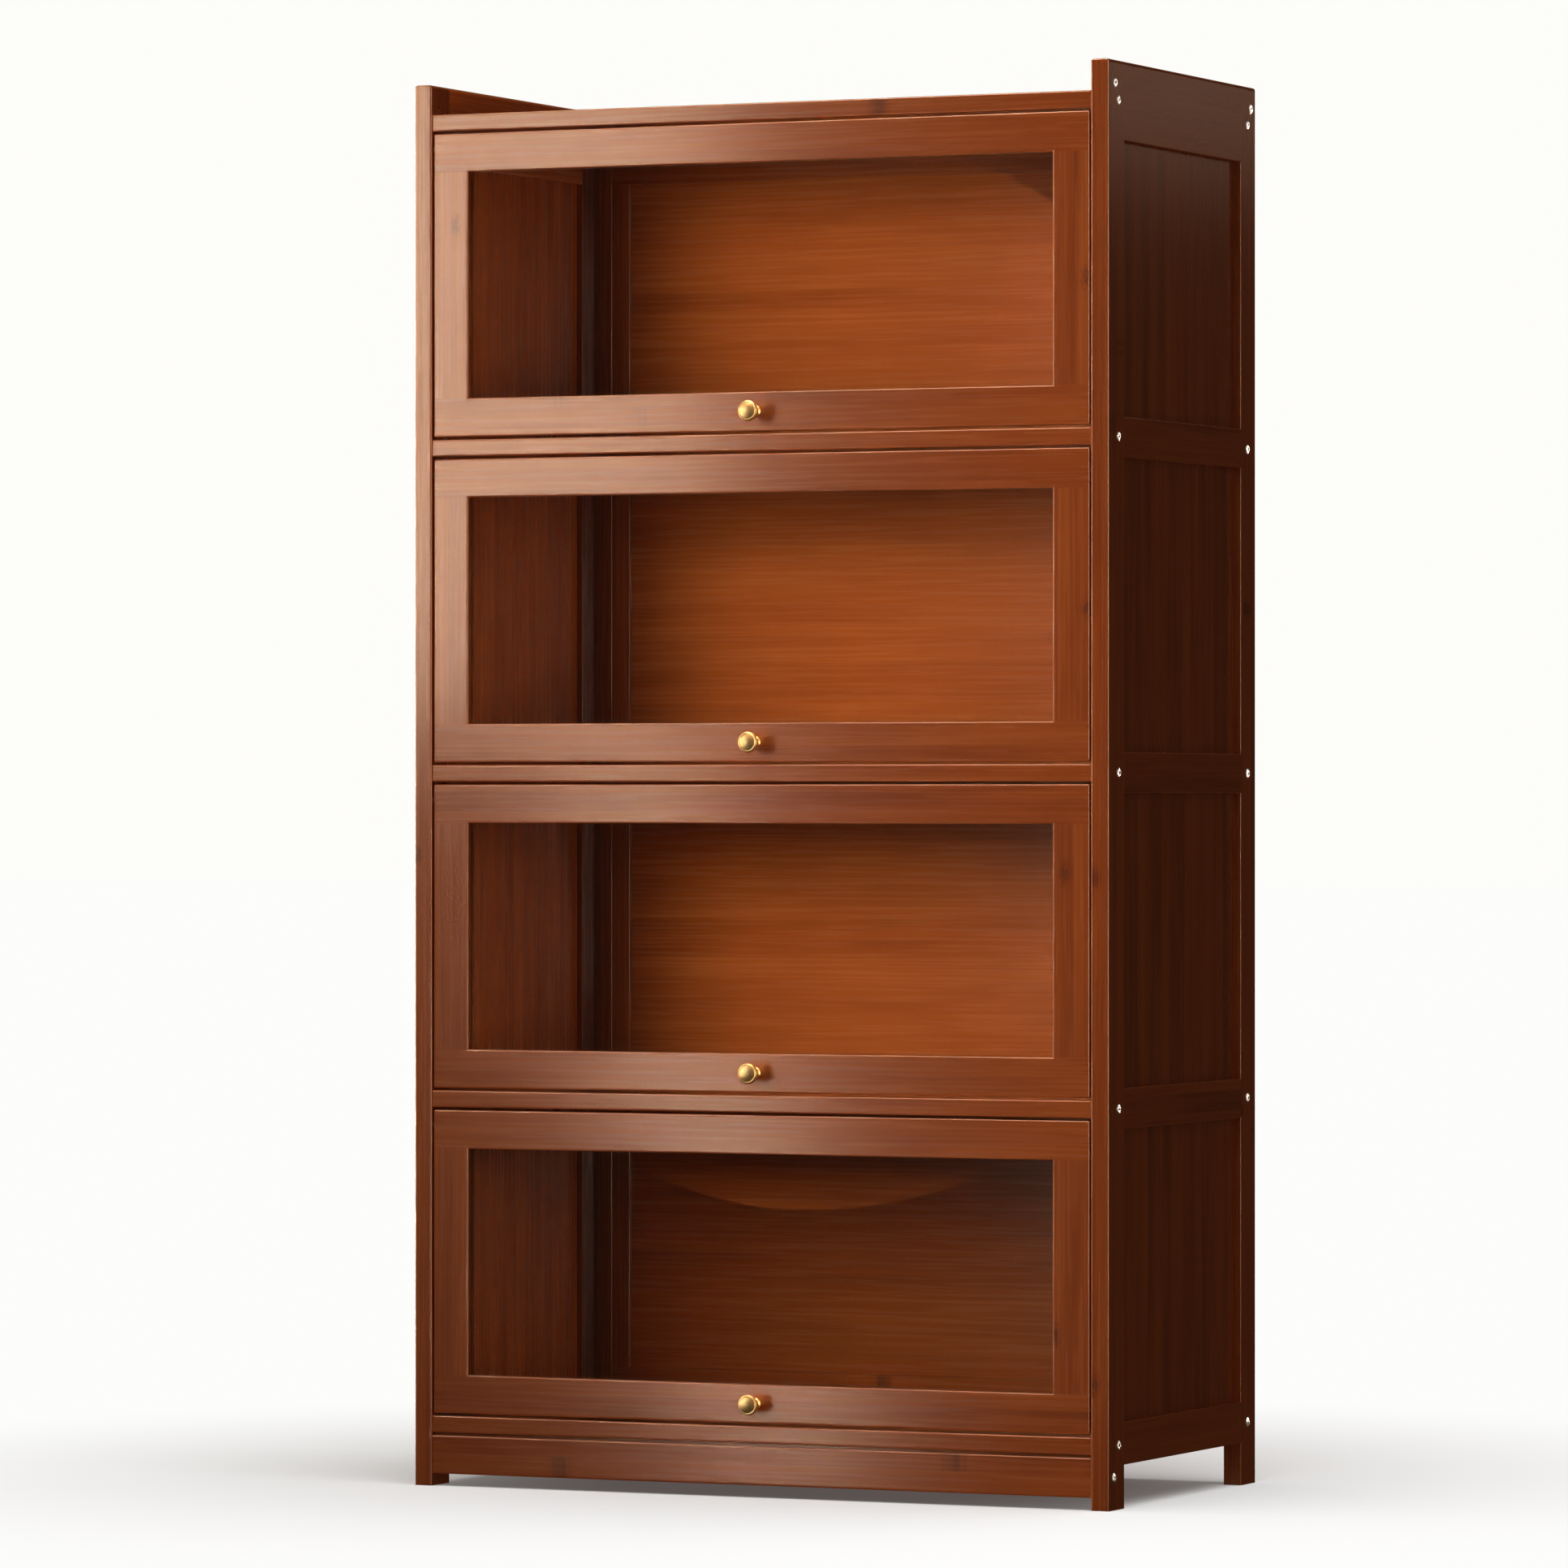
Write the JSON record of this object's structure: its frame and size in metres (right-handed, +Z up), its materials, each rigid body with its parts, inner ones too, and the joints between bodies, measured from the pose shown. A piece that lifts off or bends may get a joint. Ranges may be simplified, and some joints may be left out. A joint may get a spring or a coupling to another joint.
{
  "type": "barrister bookcase",
  "caption": "Tall bamboo frame-and-panel barrister bookcase with stacked glazed doors that flip up and slide back over the shelves.",
  "frame": {"origin": "centre of the footprint on the floor, knobs included", "axes": "+X to the object's right seen from the front, +Y from the front to the back, +Z up"},
  "size_m": [0.802, 0.429, 1.49],
  "materials": {
    "bamboo_frame": "satin varnish",
    "bamboo_panel": "satin varnish",
    "runner_wood": "waxed",
    "pane": "clear",
    "knob_brass": "brushed",
    "fastener_steel": "zinc plated",
    "runner_steel": "plain"
  },
  "bodies": {
    "case": {"back_bottom_rail": "bamboo_frame", "back_left_cleat": "bamboo_frame", "back_left_stiles": "bamboo_frame", "back_middle_rails": "bamboo_frame", "back_panels": "bamboo_panel", "back_right_cleat": "bamboo_frame", "back_right_stiles": "bamboo_frame", "back_screws": "fastener_steel", "back_top_rail": "bamboo_frame", "barrel_nuts": "fastener_steel", "bottom_board": "bamboo_frame", "frame_bolts": "fastener_steel", "left_door_runners": "runner_wood", "left_front_post": "bamboo_frame", "left_rear_post": "bamboo_frame", "left_side_bottom_rail": "bamboo_frame", "left_side_middle_rails": "bamboo_frame", "left_side_panels": "bamboo_panel", "left_side_top_rail": "bamboo_frame", "lower_shelf": "bamboo_frame", "middle_shelf": "bamboo_frame", "plinth_board": "bamboo_frame", "right_door_runners": "runner_wood", "right_front_post": "bamboo_frame", "right_rear_post": "bamboo_frame", "right_side_bottom_rail": "bamboo_frame", "right_side_middle_rails": "bamboo_frame", "right_side_panels": "bamboo_panel", "right_side_top_rail": "bamboo_frame", "top_board": "bamboo_frame", "upper_shelf": "bamboo_frame"},
    "door_1_carriage": {"door_1_runner_pins": "runner_steel"},
    "door_1": {"door_1_bottom_rail": "bamboo_frame", "door_1_knob": "knob_brass", "door_1_knob_screw": "fastener_steel", "door_1_pane": "pane", "door_1_stiles": "bamboo_frame", "door_1_top_rail": "bamboo_frame"},
    "door_2_carriage": {"door_2_runner_pins": "runner_steel"},
    "door_2": {"door_2_bottom_rail": "bamboo_frame", "door_2_knob": "knob_brass", "door_2_knob_screw": "fastener_steel", "door_2_pane": "pane", "door_2_stiles": "bamboo_frame", "door_2_top_rail": "bamboo_frame"},
    "door_3_carriage": {"door_3_runner_pins": "runner_steel"},
    "door_3": {"door_3_bottom_rail": "bamboo_frame", "door_3_knob": "knob_brass", "door_3_knob_screw": "fastener_steel", "door_3_pane": "pane", "door_3_stiles": "bamboo_frame", "door_3_top_rail": "bamboo_frame"},
    "door_4_carriage": {"door_4_runner_pins": "runner_steel"},
    "door_4": {"door_4_bottom_rail": "bamboo_frame", "door_4_knob": "knob_brass", "door_4_knob_screw": "fastener_steel", "door_4_pane": "pane", "door_4_stiles": "bamboo_frame", "door_4_top_rail": "bamboo_frame"}
  },
  "joints": [
    {"name": "door_1_slide", "type": "slide", "parent": "case", "child": "door_1_carriage", "axis": [0, 1, 0], "range_m": [0, 0.256]},
    {"name": "door_1_flip", "type": "hinge", "parent": "door_1_carriage", "child": "door_1", "pos_m": [0, -0.1835, 0.384], "axis": [-1, 0, 0], "range_deg": [0, 90]},
    {"name": "door_2_slide", "type": "slide", "parent": "case", "child": "door_2_carriage", "axis": [0, 1, 0], "range_m": [0, 0.256]},
    {"name": "door_2_flip", "type": "hinge", "parent": "door_2_carriage", "child": "door_2", "pos_m": [0, -0.1835, 0.72975], "axis": [-1, 0, 0], "range_deg": [0, 90]},
    {"name": "door_3_slide", "type": "slide", "parent": "case", "child": "door_3_carriage", "axis": [0, 1, 0], "range_m": [0, 0.256]},
    {"name": "door_3_flip", "type": "hinge", "parent": "door_3_carriage", "child": "door_3", "pos_m": [0, -0.1835, 1.0755], "axis": [-1, 0, 0], "range_deg": [0, 90]},
    {"name": "door_4_slide", "type": "slide", "parent": "case", "child": "door_4_carriage", "axis": [0, 1, 0], "range_m": [0, 0.256]},
    {"name": "door_4_flip", "type": "hinge", "parent": "door_4_carriage", "child": "door_4", "pos_m": [0, -0.1835, 1.42125], "axis": [-1, 0, 0], "range_deg": [0, 90]}
  ]
}
